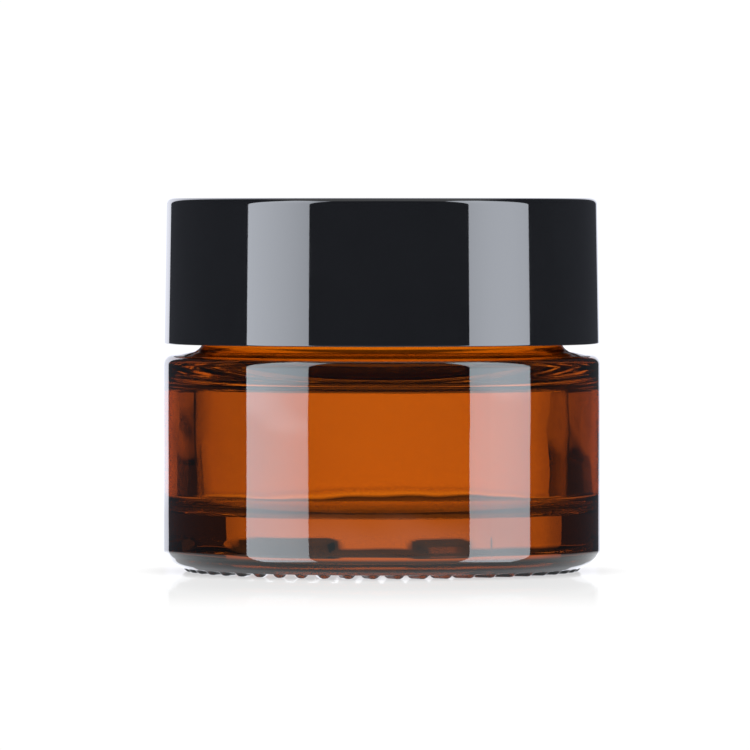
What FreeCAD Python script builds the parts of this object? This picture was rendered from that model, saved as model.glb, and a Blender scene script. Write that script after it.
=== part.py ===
"""Cosmetic cream jar: a heavy-walled amber glass jar with a one-turn screw neck, closed by a two-piece
black lid (gloss outer shell pressed over a threaded inner cap) that holds a foam sealing wad, with a
white inner disc sitting in the mouth of the glass.

Millimetres, +Z up. Origin: on the axis, in the plane that the jar stands on.
"""

import FreeCAD
import Part

import math
import os

V = FreeCAD.Vector
AXIS0, AXISZ = V(0, 0, 0), V(0, 0, 1)

# ---------------------------------------------------------------- driving dimensions
TOTAL_H = 46.2          # floor to lid top
BODY_R = 27.0           # glass barrel radius
WALL_R = 23.0           # inside radius of the well
FLOOR_Z = 7.2           # inside floor at the wall
FLOOR_DISH = 0.25       # the floor is this much lower on the axis
WELL_TOP_Z = 22.9       # virtual corner where the wall turns in to the shoulder
BORE_R = 19.7           # bore of the mouth
BORE_Z = 26.2           # virtual corner where the shoulder turns up into the bore
RIM_Z = 37.2            # sealing rim of the glass
NECK_R = 22.2           # neck outside the thread (E / 2)
SHOULDER_Z = 26.63      # virtual corner of the shoulder at the barrel
SHOULDER_RISE = 0.17    # slope of the shoulder towards the neck
HEEL_Z = 1.5            # virtual corner of the heel at the barrel
RING_OUT_R = 24.7       # bearing ring, outside and inside
RING_IN_R = 21.9
RING_Z = 0.45           # ring face above the floor: the grip bars fill this height
PUSH_UP_Z = 1.6         # underside of the base on the axis

BAR_COUNT = 50          # moulded bearing bars under the heel
BAR_R = 0.95            # radius of a bar's rounded section
BAR_SINK = 0.05         # flat ground off the lowest line of each bar
BAR_LEN = 1.6           # straight length of a bar between its rounded ends
BAR_PITCH_R = 23.15     # radius of the bars' centres
BAR_SKEW = 30.0         # degrees that each bar leans from the radial direction

NOTCHES = ((97.4, 3.3, 3.75), (84.9, 2.25, 3.6))   # register notches at the back of the heel: azimuth, width, top
NOTCH_DEPTH = 0.45      # cut into the barrel at the foot of the chamfer
NOTCH_CHAMFER = 0.7     # height and width of the sloping border

PITCH = 4.233           # six threads to the inch
THREAD_TURNS = 1.10
THREAD_Z0 = 30.75       # centre of the glass thread at its lower end
THREAD_DEPTH = 1.2
THREAD_ROOT = 1.15      # half widths of the glass thread
THREAD_CREST = 0.50
CAP_THREAD_DEPTH = 1.2
CAP_THREAD_ROOT = 0.80
CAP_THREAD_CREST = 0.35
CAP_THREAD_DROP = 1.50  # the cap's thread runs this far below the glass thread
CAP_THREAD_START = 66.0

LID_Z0 = 28.2           # lower edge of the lid
LID_R_LOW = 26.94
LID_R_TOP = 26.65
LID_EDGE_R = 0.8
LID_TOP_T = 1.8
SHELL_IN_R = 25.4
SNAP_R = 24.95
CAP_Z0 = 28.63          # lower edge of the threaded inner cap
CAP_IN_R = 23.75
CAP_OUT_R = 24.8
CAP_TOP_Z = 40.3
CAP_TOP_T = 1.2
CAP_RIBS = 36
CAP_RIB_R = 25.3
KEY_RIBS = 6            # wide keys of the shell that lie between ribs of the inner cap
KEY_HALF = 1.7
KEY_RIB_R = 25.06
STANDOFFS = 8

BEAD_R = 23.2           # bead inside the cap that keeps the wad in
WAD_R = 23.47
WAD_Z = (38.02, 39.06)
DISC_FLANGE_R = 21.9
DISC_FLANGE_Z = (37.22, 37.98)
DISC_PLATE_Z = (34.7, 35.5)
DISC_PLUG_R = 19.4
TAB = (9.0, 1.3, 2.1)   # length, thickness and height of the pull tab


# ---------------------------------------------------------------- helpers
def rounded(points):
    """Edges in the XZ plane through (r, z, fillet radius) points, with tangent arcs at the filleted corners."""
    edges = []
    start = V(points[0][0], 0, points[0][1])
    for k in range(1, len(points)):
        r, z, fillet = points[k]
        corner = V(r, 0, z)
        if k == len(points) - 1 or fillet <= 0:
            if (corner - start).Length > 1e-7:
                edges.append(Part.LineSegment(start, corner).toShape())
            start = corner
            continue
        after = V(points[k + 1][0], 0, points[k + 1][1])
        a = (V(points[k - 1][0], 0, points[k - 1][1]) - corner).normalize()
        b = (after - corner).normalize()
        half = math.acos(max(-1.0, min(1.0, a.dot(b)))) / 2
        t = fillet / math.tan(half)
        p, q = corner + a * t, corner + b * t
        middle = (a + b).normalize()
        centre = corner + middle * (fillet / math.sin(half))
        mid = centre - middle * fillet
        if (p - start).Length > 1e-7:
            edges.append(Part.LineSegment(start, p).toShape())
        edges.append(Part.Arc(p, mid, q).toShape())
        start = q
    return edges


def revolved(points):
    """A closed profile of (r, z, fillet) points turned about the axis."""
    closed = points + [(points[0][0], points[0][1], 0)]
    wire = Part.Wire(Part.__sortEdges__(rounded(closed)))
    solid = Part.Face(wire).revolve(AXIS0, AXISZ, 360)
    return solid if solid.ShapeType == "Solid" else Part.Solid(solid.Shells[0])


def section(angle, z, r_root, r_crest, half_root, half_crest):
    """One closed trapezoid of a thread, standing in the plane through the axis at this angle."""
    c, s = math.cos(math.radians(angle)), math.sin(math.radians(angle))
    ring = [(r_root, z - half_root), (r_crest, z - half_crest), (r_crest, z + half_crest), (r_root, z + half_root)]
    pts = [V(r * c, r * s, h) for r, h in ring]
    return Part.makePolygon(pts + [pts[0]])


def thread(wall_r, depth, half_root, half_crest, z0, start, turns, outward, bite=0.35, fade=34.0):
    """A right-handed ridge that rises out of the wall over its first and last degrees of travel."""
    sign = 1 if outward else -1
    span = 360.0 * turns
    steps = int(span / 9)
    wires = []
    for i in range(steps + 1):
        a = span * i / steps
        share = min(1.0, a / fade, (span - a) / fade)
        ease = share * share * (3 - 2 * share)
        h = -0.12 + (depth + 0.12) * ease
        crest = half_crest * (0.45 + 0.55 * ease)
        slope = (half_root - half_crest) / depth
        root = crest + slope * (h + bite)
        z = z0 + PITCH * (start + a) / 360.0
        wires.append(section(start + a, z, wall_r - sign * bite, wall_r + sign * h, root, crest))
    return Part.makeLoft(wires, True, False)


def ring_of(shape, count, offset=0.0):
    out = []
    for i in range(count):
        s = shape.copy()
        s.rotate(AXIS0, AXISZ, offset + 360.0 * i / count)
        out.append(s)
    return out


def block(x0, x1, y0, y1, z0, z1):
    return Part.makeBox(x1 - x0, y1 - y0, z1 - z0, V(x0, y0, z0))


def notch_cutter(azimuth, width, top):
    """A pocket with sloping borders, open towards the foot, standing on the barrel at this azimuth."""
    def outline(r, half, z1):
        low = -1.0
        pts = [V(r, -half, low), V(r, half, low), V(r, half, z1), V(r, -half, z1)]
        return Part.makePolygon(pts + [pts[0]])
    reach = 0.5
    grow = reach / NOTCH_DEPTH * NOTCH_CHAMFER
    inner_half = width / 2 - NOTCH_CHAMFER
    cutter = Part.makeLoft([
        outline(BODY_R - NOTCH_DEPTH, inner_half, top - NOTCH_CHAMFER),
        outline(BODY_R + reach, width / 2 + grow, top + grow)], True, True)
    cutter.rotate(AXIS0, AXISZ, azimuth)
    return cutter


# ---------------------------------------------------------------- the glass jar
def glass_jar():
    neck_corner_z = SHOULDER_Z + SHOULDER_RISE * (BODY_R - NECK_R)
    body = revolved([
        (0, PUSH_UP_Z, 0),
        (21.15, 1.10, 0.8),
        (RING_IN_R, RING_Z, 0.35),
        (RING_OUT_R, RING_Z, 0.5),
        (BODY_R, HEEL_Z, 2.1),
        (BODY_R, SHOULDER_Z, 1.2),
        (NECK_R, neck_corner_z, 1.4),
        (NECK_R, RIM_Z, 0.7),
        (BORE_R, RIM_Z, 0.6),
        (BORE_R, BORE_Z, 1.6),
        (WALL_R, WELL_TOP_Z, 1.3),
        (WALL_R, FLOOR_Z, 2.4),
        (0, FLOOR_Z - FLOOR_DISH, 0),
    ])
    ridge = thread(NECK_R, THREAD_DEPTH, THREAD_ROOT, THREAD_CREST, THREAD_Z0, 0.0, THREAD_TURNS, True)
    centre = V(BAR_PITCH_R, 0, BAR_R - BAR_SINK)
    lean = V(math.cos(math.radians(BAR_SKEW)), math.sin(math.radians(BAR_SKEW)), 0)
    a, b = centre - lean * (BAR_LEN / 2), centre + lean * (BAR_LEN / 2)
    for notch in NOTCHES:
        body = body.cut(notch_cutter(*notch))
    bar = Part.makeCylinder(BAR_R, BAR_LEN, a, lean).multiFuse([Part.makeSphere(BAR_R, a), Part.makeSphere(BAR_R, b)])
    below = block(15, 30, -5, 5, -1, 0)
    bar = bar.cut(below).removeSplitter()
    jar = body.multiFuse([ridge] + ring_of(bar, BAR_COUNT))
    return jar


# ---------------------------------------------------------------- the lid
def lid_shell():
    shell = revolved([
        (0, TOTAL_H, 0),
        (LID_R_TOP, TOTAL_H, LID_EDGE_R),
        (LID_R_LOW, LID_Z0, 0.15),
        (SNAP_R, LID_Z0, 0.15),
        (SNAP_R, LID_Z0 + 0.25, 0),
        (SHELL_IN_R, CAP_Z0 - 0.05, 0),
        (SHELL_IN_R, 34.0, 0),
        (SHELL_IN_R - 0.1, TOTAL_H - LID_TOP_T, 0.7),
        (0, TOTAL_H - LID_TOP_T, 0),
    ])
    extra = ring_of(block(KEY_RIB_R, SHELL_IN_R + 0.2, -KEY_HALF, KEY_HALF, CAP_Z0 + 1.2, TOTAL_H - LID_TOP_T - 0.2), KEY_RIBS, 5.0)
    extra += ring_of(block(4.6, SHELL_IN_R - 0.8, -0.45, 0.45, CAP_TOP_Z, TOTAL_H - LID_TOP_T + 0.3), STANDOFFS, 22.5)
    boss = Part.makeCylinder(5.4, TOTAL_H - LID_TOP_T + 0.3 - CAP_TOP_Z, V(0, 0, CAP_TOP_Z)).cut(
        Part.makeCylinder(4.3, 20, V(0, 0, CAP_TOP_Z - 1)))
    return shell.multiFuse(extra + [boss])


def lid_inner_cap():
    under = CAP_TOP_Z - CAP_TOP_T
    cap = revolved([
        (0, CAP_TOP_Z, 0),
        (CAP_OUT_R, CAP_TOP_Z, 0.6),
        (CAP_OUT_R, CAP_Z0, 0.1),
        (CAP_IN_R + 0.1, CAP_Z0, 0),
        (CAP_IN_R, CAP_Z0 + 0.3, 0),
        (CAP_IN_R, 37.42, 0),
        (BEAD_R, 37.62, 0),
        (BEAD_R, 37.78, 0),
        (CAP_IN_R, 37.98, 0),
        (CAP_IN_R, under, 0.25),
        (0, under, 0),
    ])
    ridge = thread(CAP_IN_R, CAP_THREAD_DEPTH, CAP_THREAD_ROOT, CAP_THREAD_CREST,
                   THREAD_Z0 - CAP_THREAD_DROP, CAP_THREAD_START, THREAD_TURNS, False)
    rib = block(CAP_OUT_R - 0.3, CAP_RIB_R, -0.3, 0.3, CAP_Z0 + 0.1, CAP_TOP_Z - 0.7)
    return cap.multiFuse([ridge] + ring_of(rib, CAP_RIBS))


def sealing_wad():
    return revolved([(0, WAD_Z[0], 0), (WAD_R, WAD_Z[0], 0.12), (WAD_R, WAD_Z[1], 0.12), (0, WAD_Z[1], 0)])


def inner_disc():
    low, top = DISC_FLANGE_Z
    dish = revolved([
        (0, DISC_PLATE_Z[0], 0),
        (DISC_PLUG_R - 0.45, DISC_PLATE_Z[0], 0.5),
        (DISC_PLUG_R, low, 0),
        (DISC_FLANGE_R, low, 0.2),
        (DISC_FLANGE_R, top, 0.25),
        (DISC_PLUG_R - 0.95, top, 0.25),
        (DISC_PLUG_R - 1.3, DISC_PLATE_Z[1], 0.5),
        (0, DISC_PLATE_Z[1], 0),
    ])
    length, thick, high = TAB
    z0, z1 = DISC_PLATE_Z[1] - 0.3, DISC_PLATE_Z[1] + high
    outline = Part.Wire(Part.__sortEdges__(rounded([
        (-length / 2 - 0.3, z0, 0), (-length / 2, z1, 0.9), (length / 2, z1, 0.9), (length / 2 + 0.3, z0, 0), (-length / 2 - 0.3, z0, 0)])))
    fin = Part.Face(outline).extrude(V(0, thick, 0))
    fin.translate(V(0, -thick / 2, 0))
    return dish.fuse(fin)


def main():
    os.makedirs("parts", exist_ok=True)
    nodes = {
        "glass_jar": glass_jar(),
        "lid_shell": lid_shell(),
        "lid_inner_cap": lid_inner_cap(),
        "sealing_wad": sealing_wad(),
        "inner_disc": inner_disc(),
    }
    for name, shape in nodes.items():
        shape = shape.removeSplitter()
        solids = shape.Solids
        if len(solids) != 1 or not solids[0].isValid():
            print("check", name, "solids", len(solids), [s.isValid() for s in solids])
        out = solids[0] if len(solids) == 1 else Part.makeCompound(solids)
        out.exportStep(os.path.join("parts", name + ".step"))
        box = out.BoundBox
        print(name, "volume", round(out.Volume, 1), "z", round(box.ZMin, 3), round(box.ZMax, 3),
              "x", round(box.XMin, 3), round(box.XMax, 3), "faces", len(out.Faces))
    well = Part.makeCylinder(BORE_R + 5, RIM_Z - 5, V(0, 0, 5)).cut(nodes["glass_jar"])
    print("brimful", round(max(s.Volume for s in well.Solids) / 1000, 1), "ml")


main()
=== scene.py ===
import math

import bpy
import numpy as np
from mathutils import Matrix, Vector


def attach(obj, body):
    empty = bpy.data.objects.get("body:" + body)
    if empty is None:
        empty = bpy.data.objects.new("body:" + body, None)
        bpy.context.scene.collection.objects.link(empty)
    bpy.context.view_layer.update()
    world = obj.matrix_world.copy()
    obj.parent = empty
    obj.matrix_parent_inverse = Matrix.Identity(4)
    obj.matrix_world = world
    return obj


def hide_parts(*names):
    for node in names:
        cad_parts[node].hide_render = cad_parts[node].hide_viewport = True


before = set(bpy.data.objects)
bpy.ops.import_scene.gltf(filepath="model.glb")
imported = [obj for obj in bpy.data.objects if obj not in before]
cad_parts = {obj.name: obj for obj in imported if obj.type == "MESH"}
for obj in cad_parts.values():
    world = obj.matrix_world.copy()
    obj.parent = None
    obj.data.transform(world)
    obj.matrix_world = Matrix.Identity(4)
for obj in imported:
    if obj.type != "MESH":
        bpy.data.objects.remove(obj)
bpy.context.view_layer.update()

MM = 0.001
TAU = 2 * math.pi
PITCH = 4.233            # thread pitch, mm


# ------------------------------------------------------------------ mesh helpers (millimetres)
def rounded(points, arc_step=7.0, support=0.05):
    """Points along a profile of (r, z, fillet radius) corners, with arcs at the filleted corners and a support
    point just outside each arc, so that smooth shading stays true on the straights."""
    out = []

    def push(r, z):
        if not out or math.hypot(out[-1][0] - r, out[-1][1] - z) > 1e-4:
            out.append((r, z))

    push(points[0][0], points[0][1])
    for k in range(1, len(points) - 1):
        r, z, fillet = points[k]
        c = np.array([r, z], float)
        a = np.array(points[k - 1][:2], float) - c
        b = np.array(points[k + 1][:2], float) - c
        la, lb = np.linalg.norm(a), np.linalg.norm(b)
        a, b = a / la, b / lb
        half = math.acos(max(-1.0, min(1.0, float(a @ b)))) / 2
        if fillet <= 0:
            push(*(c + a * min(support, la / 3)))
            push(r, z)
            push(*(c + b * min(support, lb / 3)))
            continue
        t = fillet / math.tan(half)
        mid = (a + b) / np.linalg.norm(a + b)
        centre = c + mid * (fillet / math.sin(half))
        p, q = c + a * t, c + b * t
        push(*(p + a * min(support, max(la - t, 0.02) / 3)))
        a0 = math.atan2(p[1] - centre[1], p[0] - centre[0])
        a1 = math.atan2(q[1] - centre[1], q[0] - centre[0])
        turn = (a1 - a0 + math.pi) % TAU - math.pi
        n = max(3, int(abs(math.degrees(turn)) / arc_step) + 1)
        for i in range(n + 1):
            w = a0 + turn * i / n
            push(centre[0] + fillet * math.cos(w), centre[1] + fillet * math.sin(w))
        push(*(q + b * min(support, max(lb - t, 0.02) / 3)))
    push(points[-1][0], points[-1][1])
    return out


def densify(path, step):
    """The same polyline with no run longer than step."""
    out = [path[0]]
    for (r0, z0), (r1, z1) in zip(path, path[1:]):
        n = max(1, int(math.ceil(math.hypot(r1 - r0, z1 - z0) / step)))
        for i in range(1, n + 1):
            out.append((r0 + (r1 - r0) * i / n, z0 + (z1 - z0) * i / n))
    return out


class Turned:
    """A closed turned surface, built ring by ring. The profile runs so that the solid is on its left."""

    def __init__(self):
        self.v, self.f, self.tag, self.last = [], [], [], None

    def ring(self, theta, r, z, tag=0.0):
        n = len(theta)
        r = np.broadcast_to(np.asarray(r, float), (n,))
        z = np.broadcast_to(np.asarray(z, float), (n,))
        start = len(self.v)
        self.v += [(r[i] * math.cos(theta[i]) * MM, r[i] * math.sin(theta[i]) * MM, z[i] * MM) for i in range(n)]
        self.tag += [float(x) for x in np.broadcast_to(np.asarray(tag, float), (n,))]
        ids = list(range(start, start + n))
        if self.last is not None:
            self._join(self.last, ids)
        self.last = ids

    def pole(self, z, tag=0.0, first=False):
        self.v.append((0.0, 0.0, z * MM))
        self.tag.append(tag)
        p = len(self.v) - 1
        if first:
            self.last = [p]
        else:
            ring = self.last
            n = len(ring)
            self.f += [(ring[i], ring[(i + 1) % n], p) for i in range(n)]

    def _join(self, a, b):
        na, nb = len(a), len(b)
        if na == 1:
            self.f += [(a[0], b[(i + 1) % nb], b[i]) for i in range(nb)]
        elif na == nb:
            self.f += [(a[i], a[(i + 1) % na], b[(i + 1) % na], b[i]) for i in range(na)]
        elif nb > na:
            m = nb // na
            for i in range(na):
                a0, a1 = a[i], a[(i + 1) % na]
                for k in range(m):
                    b0, b1 = b[i * m + k], b[(i * m + k + 1) % nb]
                    self.f.append((a0, b1, b0) if k < m // 2 else (a1, b1, b0))
                self.f.append((a0, a1, b[(i * m + m // 2) % nb]))
        else:
            m = na // nb
            for i in range(nb):
                b0, b1 = b[i], b[(i + 1) % nb]
                for k in range(m):
                    a0, a1 = a[i * m + k], a[(i * m + k + 1) % na]
                    self.f.append((a0, a1, b0) if k < m // 2 else (a0, a1, b1))
                self.f.append((a[(i * m + m // 2) % na], b1, b0))

    def build(self, name, material, attribute=None):
        mesh = bpy.data.meshes.new(name)
        mesh.from_pydata(self.v, [], self.f)
        mesh.validate()
        mesh.polygons.foreach_set("use_smooth", [True] * len(mesh.polygons))
        if attribute:
            layer = mesh.attributes.new(attribute, "FLOAT", "POINT")
            layer.data.foreach_set("value", self.tag)
        mesh.update()
        obj = bpy.data.objects.new(name, mesh)
        bpy.context.scene.collection.objects.link(obj)
        mesh.materials.append(material)
        return obj


def smoothstep(x, lo, hi):
    t = np.clip((np.asarray(x, float) - lo) / (hi - lo), 0, 1)
    return t * t * (3 - 2 * t)


def soft_min(a, b, k):
    h = np.maximum(k - np.abs(a - b), 0) / k
    return np.minimum(a, b) - h * h * k / 4


def waves(theta, z, seed, scale=1.0):
    """Slow unevenness of moulded glass, about -1 to 1. It closes on itself round the axis."""
    total = np.zeros_like(np.asarray(theta, float) + np.asarray(z, float))
    rng = np.random.RandomState(seed)
    weight = 0.0
    for n in (2, 3, 5, 8, 13, 21):
        for _ in range(2):
            k, ph, amp = rng.uniform(0.05, 0.22) * scale, rng.uniform(0, TAU), 1.0 / math.sqrt(n)
            total = total + amp * np.sin(n * np.asarray(theta) + k * np.asarray(z) * (n ** 0.5) + ph)
            weight += amp * amp / 2
    return total / (2.2 * math.sqrt(weight))


# ------------------------------------------------------------------ material helpers
def new_material(name):
    m = bpy.data.materials.new(name)
    m.use_nodes = True
    nt = m.node_tree
    bsdf = next(n for n in nt.nodes if n.type == "BSDF_PRINCIPLED")
    return m, nt, bsdf


def noise(nt, scale, detail=3.0, rough=0.55, stretch=None, distortion=0.0):
    co = nt.nodes.new("ShaderNodeTexCoord")
    src = co.outputs["Object"]
    if stretch:
        mp = nt.nodes.new("ShaderNodeMapping")
        mp.inputs["Scale"].default_value = stretch
        nt.links.new(src, mp.inputs["Vector"])
        src = mp.outputs["Vector"]
    n = nt.nodes.new("ShaderNodeTexNoise")
    n.inputs["Scale"].default_value = scale
    n.inputs["Detail"].default_value = detail
    n.inputs["Roughness"].default_value = rough
    n.inputs["Distortion"].default_value = distortion
    nt.links.new(src, n.inputs["Vector"])
    return n.outputs["Fac"]


def remap(nt, value, a, b, lo=0.3, hi=0.7):
    m = nt.nodes.new("ShaderNodeMapRange")
    m.inputs["From Min"].default_value, m.inputs["From Max"].default_value = lo, hi
    m.inputs["To Min"].default_value, m.inputs["To Max"].default_value = a, b
    nt.links.new(value, m.inputs["Value"])
    return m.outputs["Result"]


def math_node(nt, op, a, b=None):
    m = nt.nodes.new("ShaderNodeMath")
    m.operation = op
    for i, x in enumerate((a, b)):
        if x is None:
            continue
        if isinstance(x, (int, float)):
            m.inputs[i].default_value = x
        else:
            nt.links.new(x, m.inputs[i])
    return m.outputs[0]


def mix_colour(nt, fac, a, b):
    m = nt.nodes.new("ShaderNodeMix")
    m.data_type = "RGBA"
    m.inputs[6].default_value, m.inputs[7].default_value = (*a, 1), (*b, 1)
    nt.links.new(fac, m.inputs[0])
    return m.outputs[2]


def bump(nt, bsdf, heights):
    """heights: (socket, distance in metres) pairs, chained into the shader's normal."""
    last = None
    for socket, distance in heights:
        b = nt.nodes.new("ShaderNodeBump")
        b.inputs["Strength"].default_value = 1.0
        b.inputs["Distance"].default_value = distance
        nt.links.new(socket, b.inputs["Height"])
        if last is not None:
            nt.links.new(last, b.inputs["Normal"])
        last = b.outputs["Normal"]
    nt.links.new(last, bsdf.inputs["Normal"])


# ------------------------------------------------------------------ materials
PASS = (0.50, 0.213, 0.029)      # the share of light that one pass through the amber skin lets through
TINT = tuple(c * c for c in PASS)
SEAM = math.radians(-61.0)       # where the two halves of the mould met (and opposite)


def amber_glass():
    m, nt, b = new_material("amber_glass")
    b.inputs["Transmission Weight"].default_value = 1.0
    b.inputs["IOR"].default_value = 1.5
    b.inputs["Roughness"].default_value = 0.0
    # the outer attribute is 0 inside, 1 on the coated outer skin, and up to 2 where shade is painted
    attr = nt.nodes.new("ShaderNodeAttribute")
    attr.attribute_name = "outer"
    # light that crosses the skin at a slant goes through more of it
    tone = remap(nt, noise(nt, 90.0, 2.0), -0.04, 0.04)
    lw = nt.nodes.new("ShaderNodeLayerWeight")
    lw.inputs["Blend"].default_value = 0.5
    slant = nt.nodes.new("ShaderNodeFloatCurve")
    curve = slant.mapping.curves[0]
    curve.points[0].location = (0, 0)
    curve.points[1].location = (1, 1)
    curve.points.new(0.14, 0.10)
    curve.points.new(0.35, 0.36)
    curve.points.new(0.6, 0.72)
    slant.mapping.update()
    nt.links.new(lw.outputs["Facing"], slant.inputs["Value"])
    amber = mix_colour(nt, math_node(nt, "ADD", slant.outputs[0], tone), TINT, tuple(c ** 1.55 for c in TINT))
    mx = nt.nodes.new("ShaderNodeMix")
    mx.data_type = "RGBA"
    mx.inputs[6].default_value = (1, 1, 1, 1)
    nt.links.new(amber, mx.inputs[7])
    nt.links.new(attr.outputs["Fac"], mx.inputs[0])
    # painted shade: outer-tag values from 1 to 2 blend the colour towards near-black
    painted_shade_mix = nt.nodes.new("ShaderNodeMix")
    painted_shade_mix.data_type = "RGBA"
    painted_shade_mix.inputs[7].default_value = (0.0014, 0.0006, 0.0005, 1)
    nt.links.new(mx.outputs[2], painted_shade_mix.inputs[6])
    nt.links.new(remap(nt, attr.outputs["Fac"], 0.0, 1.0, 1.0, 2.0), painted_shade_mix.inputs[0])
    nt.links.new(painted_shade_mix.outputs[2], b.inputs["Base Color"])
    nt.links.new(mix_colour(nt, attr.outputs["Fac"], (0.35, 0.35, 0.35), (0.90, 1.0, 1.0)), b.inputs["Specular Tint"])
    ripple = noise(nt, 2300.0, 2.0, 0.5)
    slow = noise(nt, 420.0, 2.0, 0.5, stretch=(1, 1, 0.6))
    bump(nt, b, [(ripple, 0.2e-6), (slow, 2.0e-6)])
    return m


def gloss_black():
    m, nt, b = new_material("gloss_black_plastic")
    b.inputs["IOR"].default_value = 1.6
    smudge = noise(nt, 130.0, 4.0, 0.6)
    nt.links.new(mix_colour(nt, remap(nt, smudge, 0, 1), (0.0030, 0.0031, 0.0036), (0.0036, 0.0037, 0.0043)), b.inputs["Base Color"])
    nt.links.new(remap(nt, smudge, 0.02, 0.045), b.inputs["Roughness"])
    peel = noise(nt, 900.0, 2.0, 0.5)
    bump(nt, b, [(peel, 0.5e-6)])
    return m


def satin_black():
    m, nt, b = new_material("satin_black_plastic")
    b.inputs["IOR"].default_value = 1.49
    cloud = noise(nt, 260.0, 4.0, 0.6)
    nt.links.new(mix_colour(nt, remap(nt, cloud, 0, 1), (0.013, 0.013, 0.015), (0.022, 0.022, 0.024)), b.inputs["Base Color"])
    nt.links.new(remap(nt, cloud, 0.3, 0.45), b.inputs["Roughness"])
    bump(nt, b, [(noise(nt, 5200.0, 3.0, 0.6), 3e-6)])
    return m


def white_foam():
    m, nt, b = new_material("white_foam")
    co = nt.nodes.new("ShaderNodeTexCoord")
    vor = nt.nodes.new("ShaderNodeTexVoronoi")
    vor.inputs["Scale"].default_value = 3600.0
    nt.links.new(co.outputs["Object"], vor.inputs["Vector"])
    cells = vor.outputs["Distance"]
    nt.links.new(mix_colour(nt, remap(nt, cells, 0, 1, 0.0, 0.7), (0.80, 0.80, 0.78), (0.88, 0.88, 0.865)), b.inputs["Base Color"])
    nt.links.new(remap(nt, noise(nt, 300.0, 4.0), 0.5, 0.68), b.inputs["Roughness"])
    b.inputs["Subsurface Weight"].default_value = 0.15
    b.inputs["Subsurface Radius"].default_value = (0.0012, 0.0012, 0.0011)
    bump(nt, b, [(cells, 3e-5), (noise(nt, 180.0, 2.0), 6e-5)])
    return m


def white_plastic():
    m, nt, b = new_material("white_plastic")
    b.inputs["IOR"].default_value = 1.49
    cloud = noise(nt, 140.0, 4.0, 0.6)
    nt.links.new(mix_colour(nt, remap(nt, cloud, 0, 1), (0.63, 0.635, 0.63), (0.68, 0.682, 0.678)), b.inputs["Base Color"])
    nt.links.new(remap(nt, cloud, 0.28, 0.42), b.inputs["Roughness"])
    b.inputs["Subsurface Weight"].default_value = 0.2
    b.inputs["Subsurface Radius"].default_value = (0.001, 0.001, 0.0009)
    bump(nt, b, [(noise(nt, 3800.0, 3.0, 0.6), 3e-6)])
    return m


# ------------------------------------------------------------------ the glass jar
BODY_R, WALL_R, BORE_R, NECK_R = 27.0, 23.0, 19.7, 22.2
RIM_Z, SHOULDER_Z, SHOULDER_RISE, HEEL_Z = 37.2, 26.63, 0.17, 1.5
RING_IN_R, RING_OUT_R, RING_Z, PUSH_UP_Z = 21.9, 24.7, 0.45, 1.6
BARS, BAR_R, BAR_SINK, BAR_LEN, BAR_PITCH_R, BAR_SKEW = 50, 0.95, 0.05, 1.6, 23.15, math.radians(30)


NOTCHES = ((97.9, 3.45, 3.62), (84.6, 2.25, 3.52))   # register notches at the back of the heel: azimuth, width, top
NOTCH_DEPTH, NOTCH_CHAMFER = 0.45, 0.7


def notch_edge(theta, z, which):
    """How far inside a notch's outline a point of the barrel lies, mm. Negative outside."""
    azimuth, width, top = NOTCHES[which]
    along = BODY_R * ((theta - math.radians(azimuth) + math.pi) % TAU - math.pi)
    corner = 0.45
    qx = np.abs(along) - 0.12 * (top - z) - (width / 2 - corner)
    qz = z - (top - corner)
    return corner - np.hypot(np.maximum(qx, 0), np.maximum(qz, 0)) - np.minimum(np.maximum(qx, qz), 0), along


def bars_under(x, y, base):
    """The underside with the slanted bearing bars raised out of it."""
    theta = np.arctan2(y, x)
    k = np.round(theta / (TAU / BARS))
    z = base
    lean = np.array([math.cos(BAR_SKEW), math.sin(BAR_SKEW)])
    for shift in (-1, 0, 1):
        w = (k + shift) * TAU / BARS
        lx = x * np.cos(w) + y * np.sin(w) - BAR_PITCH_R
        ly = -x * np.sin(w) + y * np.cos(w)
        t = np.clip(lx * lean[0] + ly * lean[1], -BAR_LEN / 2, BAR_LEN / 2)
        d = np.hypot(lx - t * lean[0], ly - t * lean[1])
        bar = np.where(d < BAR_R, BAR_R - BAR_SINK - np.sqrt(np.maximum(BAR_R ** 2 - d ** 2, 0)), 9.0)
        z = soft_min(z, bar, 0.16)
    return np.maximum(z, 0.0)


def glass_thread(theta, z):
    """Height of the right-handed thread above the neck at (theta, z)."""
    half_root, half_crest, depth, z0, turns, fade = 1.15, 0.50, 1.2, 30.75, 1.10, math.radians(34)
    span = TAU * turns
    out = np.zeros_like(theta + z)
    base = np.mod(theta, TAU)
    for lap in (0, 1):
        a = base + TAU * lap
        inside = a <= span
        share = np.clip(np.minimum(a / fade, (span - a) / fade), 0, 1)
        ease = share * share * (3 - 2 * share)
        dz = np.abs(z - (z0 + PITCH * a / TAU))
        crest = half_crest * (0.45 + 0.55 * ease)
        slope = (half_root - half_crest) / depth
        h = depth * ease - np.maximum(dz - crest, 0) / slope
        h = np.maximum(h, 0)
        h = np.minimum(h, depth)
        out = np.maximum(out, np.where(inside, h, 0))
    return out


def column_set(count, extra=(), close=()):
    cols = {round(TAU * i / count, 9) for i in range(count)}
    for a in extra:
        for off in (-0.8, -0.35, 0.0, 0.35, 0.8):
            cols.add(round((a + math.radians(off)) % TAU, 9))
    for a0, a1, step in close:
        cols |= {round(math.radians(a), 9) for a in np.arange(a0, a1, step)}
    cols = sorted(cols)
    keep = [cols[0]]
    for c in cols[1:]:
        if c - keep[-1] > math.radians(0.12):
            keep.append(c)
    return np.array(keep)


def finer(theta, m):
    nxt = np.append(theta[1:], theta[0] + TAU)
    return np.concatenate([theta[i] + (nxt[i] - theta[i]) * np.arange(m) / m for i in range(len(theta))])


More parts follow.
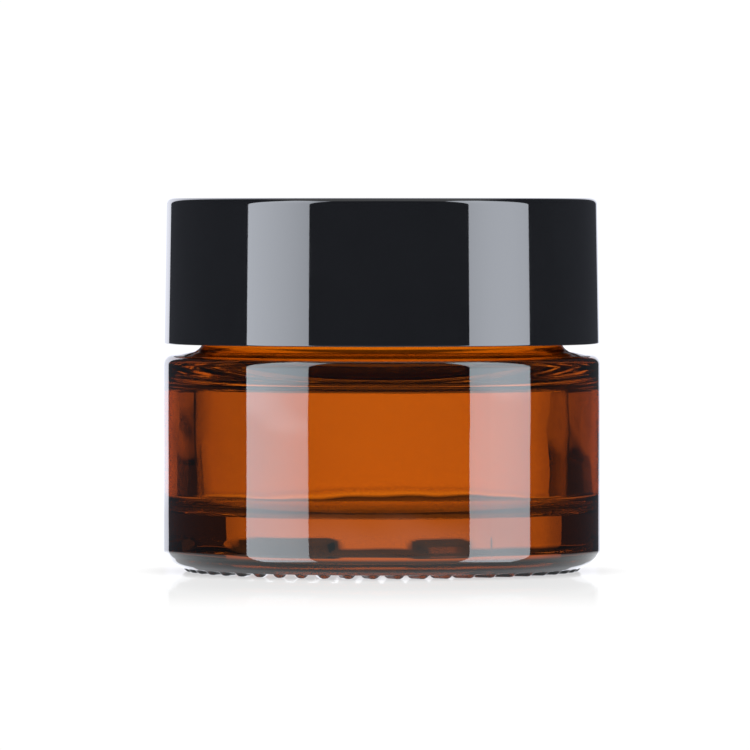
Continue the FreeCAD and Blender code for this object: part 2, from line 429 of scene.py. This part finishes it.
def skin_and_painted_shade(theta, z):
    """The outer-skin tag on the barrel: 1 for the plain skin, rising towards 2 where the heel and the register notches
    are painted in shade, the heel darkest. A narrow band at the front of the heel and a small patch in one notch get
    less painted shade.
    """
    # less painted shade on a narrow band at the front of the heel
    painted_shade_gap = 0.35 * smoothstep(z, 1.2, 1.5) * (1 - smoothstep(z, 1.65, 1.95)) * smoothstep(-np.sin(theta), 0.2, 0.6)
    # painted shade: the heel below about 2.75 mm is tagged towards near-black
    tag = 1.0 + (1 - smoothstep(z, 2.2, 2.75)) * (1 - painted_shade_gap)
    for k in range(len(NOTCHES)):
        inside, along = notch_edge(theta, z, k)
        # painted shade inside each register notch and a little beyond its outline
        dark = smoothstep(inside, -0.28, -0.06)
        if k == 1:
            # a small patch in the second notch gets slightly less painted shade
            painted_lighter_patch = smoothstep(0.62 - np.abs(along + 0.25), 0, 0.2) * smoothstep(z, 1.75, 2.0) * (1 - smoothstep(z, 2.5, 2.7))
            dark = dark * (1 - 0.06 * painted_lighter_patch)
        tag = np.maximum(tag, 1.0 + dark) if k == 0 else np.where(inside > 0.0, 1.0 + dark, np.maximum(tag, 1.0 + dark))
    return tag


def make_glass(material):
    coarse = column_set(240, (SEAM, SEAM + math.pi), ((79.5, 90.5, 0.42), (92.0, 103.0, 0.42)))
    fine = finer(coarse, 3)
    seam = np.zeros_like(coarse)
    for s in (SEAM, SEAM + math.pi):
        d = np.abs((coarse - s + math.pi) % TAU - math.pi)
        seam += np.maximum(0, 1 - d / math.radians(0.36))
    neck_corner = SHOULDER_Z + SHOULDER_RISE * (BODY_R - NECK_R)
    t = Turned()
    t.pole(PUSH_UP_Z, 1.0, first=True)

    def under(r):
        pts = rounded([(0, PUSH_UP_Z, 0), (21.15, 1.10, 0.8), (RING_IN_R, RING_Z, 0.35), (RING_OUT_R, RING_Z, 0.5), (BODY_R, HEEL_Z, 0), (BODY_R, 5, 0)], 6)
        rr, zz = [p[0] for p in pts], [p[1] for p in pts]
        last = next(i for i in range(1, len(rr)) if rr[i] <= rr[i - 1]) if any(rr[i] <= rr[i - 1] for i in range(1, len(rr))) else len(rr)
        return np.interp(r, rr[:last], zz[:last])

    for r in (3.0, 7.0, 11.0, 15.0, 18.0, 20.0, 20.6):
        t.ring(coarse, r, under(r) + 0.02 * waves(coarse, r, 3) * smoothstep(r, 0, 15), 1.0)
    # painted shade: the bearing ring, its bars and the start of the heel are tagged towards near-black
    for r in np.concatenate([np.linspace(20.85, 21.8, 6), np.linspace(21.95, 24.95, 18), [25.1, 25.3]]):
        z = bars_under(r * np.cos(fine), r * np.sin(fine), np.full(len(fine), float(under(r))))
        t.ring(fine, r, z, 1.0 + 0.9 * float(smoothstep(r, 21.5, 22.3)))
    t.ring(coarse, 25.45, under(25.45), 1.95)
    outer = rounded([(25.5, float(under(25.5)), 0), (BODY_R, HEEL_Z, 2.1), (BODY_R, SHOULDER_Z, 1.2), (NECK_R, neck_corner, 1.4), (NECK_R, 29.3, 0)], 6)
    split = (BODY_R, 4.6)
    outer = densify([p for p in outer if p[1] < 4.6] + [split], 0.16) + densify([split] + [p for p in outer if p[1] > 4.6], 2.4)[1:]
    for r, z in outer[1:]:
        share = smoothstep(z, 1.5, 3.5)
        rr = r + ((0.024 - 0.022 * float(smoothstep(z, 20.5, 23.0))) * waves(coarse, z, 5) + 0.03 * seam) * share
        tag = skin_and_painted_shade(coarse, z)
        for k in range(len(NOTCHES)):
            inside, along = notch_edge(coarse, z, k)
            rr = np.minimum(rr, BODY_R - NOTCH_DEPTH * np.clip(inside / NOTCH_CHAMFER, 0, 1) + 9.0 * (inside <= 0))
        t.ring(coarse, rr, z, tag)
    for z in np.arange(29.4, 36.45, 0.16):
        h = glass_thread(coarse, np.full(len(coarse), z))
        t.ring(coarse, NECK_R + h + 0.03 * seam * (h < 0.01), z, 1.0)
    inner = rounded([(NECK_R, 36.4, 0), (NECK_R, RIM_Z, 0.7), (BORE_R, RIM_Z, 0.6), (BORE_R, 26.2, 1.6), (WALL_R, 22.9, 1.3), (WALL_R, 7.2, 2.4), (0.5, 6.95, 0)], 6)
    inner = densify(inner, 1.6)
    top = max(i for i, p in enumerate(inner) if p[1] > RIM_Z - 0.01)
    for i, (r, z) in enumerate(inner[1:], 1):
        outside = r > NECK_R - 1.0 and z > 36.0
        wav = 0.0 if z > 30 else (0.045 - 0.041 * float(smoothstep(z, 20.5, 23.0))) * waves(coarse, z, 11, 1.6)
        flat = r < 20.7 and z < 12
        rr = r + (0.0 if flat else wav * smoothstep(30 - z, 0, 3))
        zz = z + (0.03 * waves(coarse, r, 17) * smoothstep(r, 0, 12) if flat else 0.0)
        t.ring(coarse, rr, zz, 1.0 if outside else 0.0)
    t.pole(6.95, 0.0)
    # the outer attribute carries the coated skin and, above 1, the painted shade
    return t.build("jar_glass", material, "outer")


# ------------------------------------------------------------------ the lid
def make_lid_shell(material):
    theta = np.arange(360) * TAU / 360
    path = rounded([(0, 44.4, 0), (25.3, 44.4, 0.7), (25.4, 34.0, 0), (25.4, 28.58, 0), (24.95, 28.45, 0), (24.95, 28.2, 0.15),
                    (26.94, 28.2, 0.15), (26.65, 46.2, 0.8), (0, 46.2, 0)], 6)
    path = densify(path, 3.0)
    t = Turned()
    t.pole(44.4, first=True)
    # the profile runs outwards under the top, down the inside, round the lower lip, up the outside and back in
    for r, z in path[1:-1]:
        t.ring(theta, r, z)
    t.pole(46.2)
    return t.build("lid_outer_shell", material)


# ------------------------------------------------------------------ build
glass_mat, gloss_mat, cap_mat, foam_mat, disc_mat = amber_glass(), gloss_black(), satin_black(), white_foam(), white_plastic()
jar = make_glass(glass_mat)
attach(jar, "jar"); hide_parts("glass_jar")
shell = make_lid_shell(gloss_mat)
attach(shell, "lid"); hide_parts("lid_shell")
for name, mat in (("lid_inner_cap", cap_mat), ("sealing_wad", foam_mat), ("inner_disc", disc_mat)):
    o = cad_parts[name]
    for s in o.material_slots:
        s.material = mat


# ------------------------------------------------------------------ stage and light
def emission_material(name, colour, strength):
    m = bpy.data.materials.new(name)
    m.use_nodes = True
    nt = m.node_tree
    nt.nodes.clear()
    e = nt.nodes.new("ShaderNodeEmission")
    e.inputs["Color"].default_value = (*colour, 1)
    e.inputs["Strength"].default_value = strength
    out = nt.nodes.new("ShaderNodeOutputMaterial")
    nt.links.new(e.outputs[0], out.inputs["Surface"])
    return m, nt, e, out


def plane(name, corners, material, camera=False, glossy=True, transmission=True, diffuse=True, parent=None):
    mesh = bpy.data.meshes.new(name)
    mesh.from_pydata([Vector(c) * MM for c in corners], [], [(0, 1, 2, 3)])
    mesh.materials.append(material)
    o = bpy.data.objects.new(name, mesh)
    bpy.context.scene.collection.objects.link(o)
    o.visible_camera, o.visible_glossy, o.visible_transmission, o.visible_diffuse = camera, glossy, transmission, diffuse
    o.visible_shadow = False
    if parent is not None:
        o.parent = parent
    return o


DIST, CAM_Z, PX = 1087.0, 46.2, 8.074
cam_data = bpy.data.cameras.new("camera")
cam_data.sensor_width = 36.0
cam_data.lens = 36.0 * DIST / (750 / PX)
cam_data.clip_start, cam_data.clip_end = 0.05, 60.0
camera = bpy.data.objects.new("camera", cam_data)
camera.location = (-0.867 * MM, -DIST * MM, CAM_Z * MM)
camera.rotation_euler = (math.radians(90) - math.atan(177 / PX / DIST), 0, 0)
bpy.context.scene.collection.objects.link(camera)
bpy.context.scene.camera = camera

# the studio turns with the camera about the jar's axis, as when the jar stands on a turntable
rig = bpy.data.objects.new("studio", None)
bpy.context.scene.collection.objects.link(rig)
track = rig.constraints.new("LOCKED_TRACK")
track.target, track.track_axis, track.lock_axis = camera, "TRACK_NEGATIVE_Y", "LOCK_Z"


def softbox(name, az0, az1, dist, z0, z1, levels, colour):
    """An upright panel seen from the jar between two azimuths, degrees right of the camera. levels: brightness
    at its left edge, middle and right edge."""
    a0, a1 = math.radians(az0), math.radians(az1)
    p0 = (dist * math.sin(a0), -dist * math.cos(a0))
    p1 = (dist * math.sin(a1), -dist * math.cos(a1))
    m, nt, e, out = emission_material(name, colour, 1.0)
    co = nt.nodes.new("ShaderNodeTexCoord")
    sep = nt.nodes.new("ShaderNodeSeparateXYZ")
    nt.links.new(co.outputs["Generated"], sep.inputs[0])
    axis = 0 if abs(p1[0] - p0[0]) > abs(p1[1] - p0[1]) else 1
    rising = (p1[axis] - p0[axis]) > 0
    ramp = nt.nodes.new("ShaderNodeFloatCurve")
    curve = ramp.mapping.curves[0]
    values = levels if rising else levels[::-1]
    top = max(values)
    curve.points[0].location = (0, values[0] / top)
    curve.points[1].location = (1, values[2] / top)
    curve.points.new(0.5, values[1] / top)
    ramp.mapping.update()
    nt.links.new(sep.outputs[axis], ramp.inputs["Value"])
    obj = nt.nodes.new("ShaderNodeTexCoord")
    up = nt.nodes.new("ShaderNodeSeparateXYZ")
    nt.links.new(obj.outputs["Object"], up.inputs[0])
    band = math_node(nt, "MULTIPLY", remap(nt, up.outputs[2], 0.0, 0.2, 0.000, 0.005), remap(nt, up.outputs[2], 1.0, 0.0, 0.014, 0.030))
    level = math_node(nt, "MULTIPLY", math_node(nt, "MULTIPLY", ramp.outputs[0], top), math_node(nt, "ADD", band, 1.0))
    nt.links.new(level, e.inputs["Strength"])
    return plane(name, [(*p0, z0), (*p1, z0), (*p1, z1), (*p0, z1)], m, transmission=False, parent=rig)


LIGHT = (0.95, 1.00, 1.10)
softbox("softbox_left", -74.9, -38.4, 900, -700, 1500, (7.0, 6.4, 5.2), LIGHT)
softbox("softbox_right", 46.2, 83.5, 900, -700, 1500, (5.9, 6.5, 5.5), LIGHT)


def profile_card(name, x0, x1, z0, z1, points, colour, glossy, transmission):
    """An upright lit card behind the jar. points: (x in mm, brightness) across its width."""
    m, nt, e, out = emission_material(name, colour, 1.0)
    co = nt.nodes.new("ShaderNodeTexCoord")
    sep = nt.nodes.new("ShaderNodeSeparateXYZ")
    nt.links.new(co.outputs["Generated"], sep.inputs[0])
    ramp = nt.nodes.new("ShaderNodeFloatCurve")
    curve = ramp.mapping.curves[0]
    top = max(v for _, v in points)
    curve.points[0].location = (0, points[0][1] / top)
    curve.points[1].location = (1, points[-1][1] / top)
    for x, v in points[1:-1]:
        curve.points.new((x - x0) / (x1 - x0), v / top)
    ramp.mapping.update()
    nt.links.new(sep.outputs[0], ramp.inputs["Value"])
    obj = nt.nodes.new("ShaderNodeTexCoord")
    up = nt.nodes.new("ShaderNodeSeparateXYZ")
    nt.links.new(obj.outputs["Object"], up.inputs[0])
    foot = remap(nt, up.outputs[2], 0.84, 1.0, 0.002, 0.006)
    nt.links.new(math_node(nt, "MULTIPLY", math_node(nt, "MULTIPLY", ramp.outputs[0], top), foot), e.inputs["Strength"])
    return plane(name, [(x0, 127, z0), (x1, 127, z0), (x1, 127, z1), (x0, 127, z1)], m, glossy=glossy, transmission=transmission, parent=rig)


profile_card("backdrop_behind", -88, 61, -14, 220, [(-88, 1.0), (-75, 1.2), (-59, 1.75), (-45, 1.70), (-39, 1.66), (-16, 2.06), (0, 2.22), (17, 2.17), (30, 2.0), (45, 1.78), (52, 1.55), (61, 1.25)], (0.98, 0.99, 1.03), False, True)
profile_card("backdrop_edge", -88, 61, -40, 220, [(-88, 1.9), (-72, 1.75), (-50, 1.35), (0, 1.3), (40, 1.3), (61, 1.2)], (0.93, 0.95, 1.06), True, False)


def side_strip(name, x0, x1):
    """A dim strip beside the backdrop."""
    m, nt, e, out = emission_material(name, (1.0, 0.98, 0.95), 1.0)
    co = nt.nodes.new("ShaderNodeTexCoord")
    sep = nt.nodes.new("ShaderNodeSeparateXYZ")
    nt.links.new(co.outputs["Object"], sep.inputs[0])
    up = remap(nt, sep.outputs[2], 0.0, 1.0, 0.0115, 0.0150)
    down = remap(nt, sep.outputs[2], 1.0, 0.0, 0.0180, 0.0192)
    nt.links.new(math_node(nt, "MULTIPLY", math_node(nt, "MULTIPLY", up, down), 0.8), e.inputs["Strength"])
    return plane(name, [(x0, 127, 9), (x1, 127, 9), (x1, 127, 20), (x0, 127, 20)], m, glossy=False, parent=rig)


side_strip("strip_left", -175, -88)
side_strip("strip_right", 61, 180)
top_mat = emission_material("overhead_panel", (0.97, 0.98, 1.0), 0.8)[0]
plane("overhead_panel", [(-450, -450, 900), (450, -450, 900), (450, 450, 900), (-450, 450, 900)], top_mat, parent=rig)


def make_floor():
    m = bpy.data.materials.new("pale_floor")
    m.use_nodes = True
    nt = m.node_tree
    nt.nodes.clear()
    out = nt.nodes.new("ShaderNodeOutputMaterial")
    e = nt.nodes.new("ShaderNodeEmission")
    e.inputs["Strength"].default_value = 1.02
    # painted contact shadow: ambient occlusion greys the glowing floor within about 5 mm of the jar
    ao = nt.nodes.new("ShaderNodeAmbientOcclusion")
    ao.inputs["Distance"].default_value = 0.005
    ao.samples = 8
    ramp = mix_colour(nt, ao.outputs["AO"], (0.72, 0.71, 0.72), (1, 1, 1))
    nt.links.new(ramp, e.inputs["Color"])
    g = nt.nodes.new("ShaderNodeBsdfGlossy")
    g.inputs["Roughness"].default_value = 0.04
    g.inputs["Color"].default_value = (1, 1, 1, 1)
    co = nt.nodes.new("ShaderNodeTexCoord")
    ln = nt.nodes.new("ShaderNodeVectorMath")
    ln.operation = "LENGTH"
    nt.links.new(co.outputs["Object"], ln.inputs[0])
    fall = nt.nodes.new("ShaderNodeMapRange")
    fall.interpolation_type = "SMOOTHSTEP"
    fall.inputs["From Min"].default_value, fall.inputs["From Max"].default_value = 0.030, 0.114
    fall.inputs["To Min"].default_value, fall.inputs["To Max"].default_value = 0.25, 0.0
    nt.links.new(ln.outputs["Value"], fall.inputs["Value"])
    sep = nt.nodes.new("ShaderNodeSeparateXYZ")
    nt.links.new(co.outputs["Object"], sep.inputs[0])
    narrow = math_node(nt, "ADD", math_node(nt, "MULTIPLY", sep.outputs[1], 1 / (DIST * MM)), 1.0)
    across = math_node(nt, "DIVIDE", math_node(nt, "ABSOLUTE", sep.outputs[0]), narrow)
    share = math_node(nt, "MULTIPLY", fall.outputs["Result"], remap(nt, across, 1.0, 0.0, 0.0262, 0.0272))
    mix = nt.nodes.new("ShaderNodeMixShader")
    nt.links.new(share, mix.inputs[0])
    nt.links.new(e.outputs[0], mix.inputs[1])
    nt.links.new(g.outputs[0], mix.inputs[2])
    nt.links.new(mix.outputs[0], out.inputs["Surface"])
    s = 20000
    return plane("floor", [(-s, -s, -0.01), (s, -s, -0.01), (s, s, -0.01), (-s, s, -0.01)], m, camera=True, glossy=False, transmission=False, parent=rig)


make_floor()


def floor_light(name, glossy, transmission):
    """What the lit floor adds to reflections in the jar (glossy) and to the view through it (transmission).
    Seen through the jar at a low angle the floor only mirrors what stands behind it, so it lets that through."""
    m = bpy.data.materials.new(name)
    m.use_nodes = True
    nt = m.node_tree
    nt.nodes.clear()
    out = nt.nodes.new("ShaderNodeOutputMaterial")
    e = nt.nodes.new("ShaderNodeEmission")
    e.inputs["Color"].default_value = (0.97, 0.98, 1.0, 1) if glossy else (0.95, 1.12, 1.05, 1)
    tr = nt.nodes.new("ShaderNodeBsdfTransparent")
    add = nt.nodes.new("ShaderNodeAddShader")
    co = nt.nodes.new("ShaderNodeTexCoord")
    ln = nt.nodes.new("ShaderNodeVectorMath")
    ln.operation = "LENGTH"
    nt.links.new(co.outputs["Object"], ln.inputs[0])
    r = ln.outputs["Value"]
    if glossy:
        sep = nt.nodes.new("ShaderNodeSeparateXYZ")
        nt.links.new(co.outputs["Object"], sep.inputs[0])
        near = remap(nt, r, 1.0, 0.66, 0.055, 0.12)
        far = remap(nt, r, 1.0, 0.0, 0.15, 0.26)
        ahead = remap(nt, math_node(nt, "DIVIDE", sep.outputs[1], r), 1.0, 0.0, -0.85, -0.35)
        foot = remap(nt, r, 1.15, 0.0, 0.034, 0.052)
        # painted shade: right under the jar's foot the reflected floor glow drops to about a third
        under = remap(nt, r, 0.35, 1.0, 0.0250, 0.0290)
        level = math_node(nt, "MULTIPLY", math_node(nt, "MULTIPLY", near, far), math_node(nt, "MAXIMUM", ahead, foot))
        nt.links.new(math_node(nt, "MULTIPLY", level, under), e.inputs["Strength"])
    else:
        lw = nt.nodes.new("ShaderNodeLayerWeight")
        lw.inputs["Blend"].default_value = 0.5
        steep = remap(nt, lw.outputs["Facing"], 0.0, 1.0, 0.88, 0.76)
        # painted shadow: within about 46 mm of the axis the floor seen through the jar is nearly dark, brightening by
        # 60 mm; steep views lift it
        shade = remap(nt, r, 0.04, 2.8, 0.046, 0.060)
        above = remap(nt, lw.outputs["Facing"], 1.1, 0.0, 0.44, 0.72)
        shade = math_node(nt, "MAXIMUM", shade, above)
        fall = remap(nt, lw.outputs["Facing"], 0.42, 1.0, 0.44, 0.66)
        nt.links.new(math_node(nt, "MULTIPLY", math_node(nt, "MULTIPLY", steep, shade), fall), e.inputs["Strength"])
        nt.links.new(mix_colour(nt, steep, (1, 1, 1), (0, 0, 0)), tr.inputs["Color"])
    nt.links.new(e.outputs[0], add.inputs[0])
    nt.links.new(tr.outputs[0], add.inputs[1])
    nt.links.new(add.outputs[0], out.inputs["Surface"])
    s = 1200
    return plane(name, [(-s, -s, -0.04), (s, -s, -0.04), (s, s, -0.04), (-s, s, -0.04)], m, glossy=glossy, transmission=transmission, parent=rig)


floor_light("floor_shine", True, False)
floor_light("floor_lit", False, True)

world = bpy.data.worlds.new("studio")
bpy.context.scene.world = world
world.use_nodes = True
nt = world.node_tree
nt.nodes.clear()
out = nt.nodes.new("ShaderNodeOutputWorld")
mix = nt.nodes.new("ShaderNodeMixShader")
path = nt.nodes.new("ShaderNodeLightPath")
dark = nt.nodes.new("ShaderNodeBackground")
dark.inputs["Color"].default_value = (0.9, 0.95, 1.15, 1)
dark.inputs["Strength"].default_value = 0.07
white = nt.nodes.new("ShaderNodeBackground")
white.inputs["Color"].default_value = (1, 1, 1, 1)
white.inputs["Strength"].default_value = 1.02
nt.links.new(path.outputs["Is Camera Ray"], mix.inputs[0])
nt.links.new(dark.outputs[0], mix.inputs[1])
nt.links.new(white.outputs[0], mix.inputs[2])
nt.links.new(mix.outputs[0], out.inputs["Surface"])

scene = bpy.context.scene
scene.view_settings.view_transform = "Standard"
scene.view_settings.look = "None"
scene.cycles.max_bounces = 24
scene.cycles.transmission_bounces = 24
scene.cycles.glossy_bounces = 8
scene.cycles.transparent_max_bounces = 16
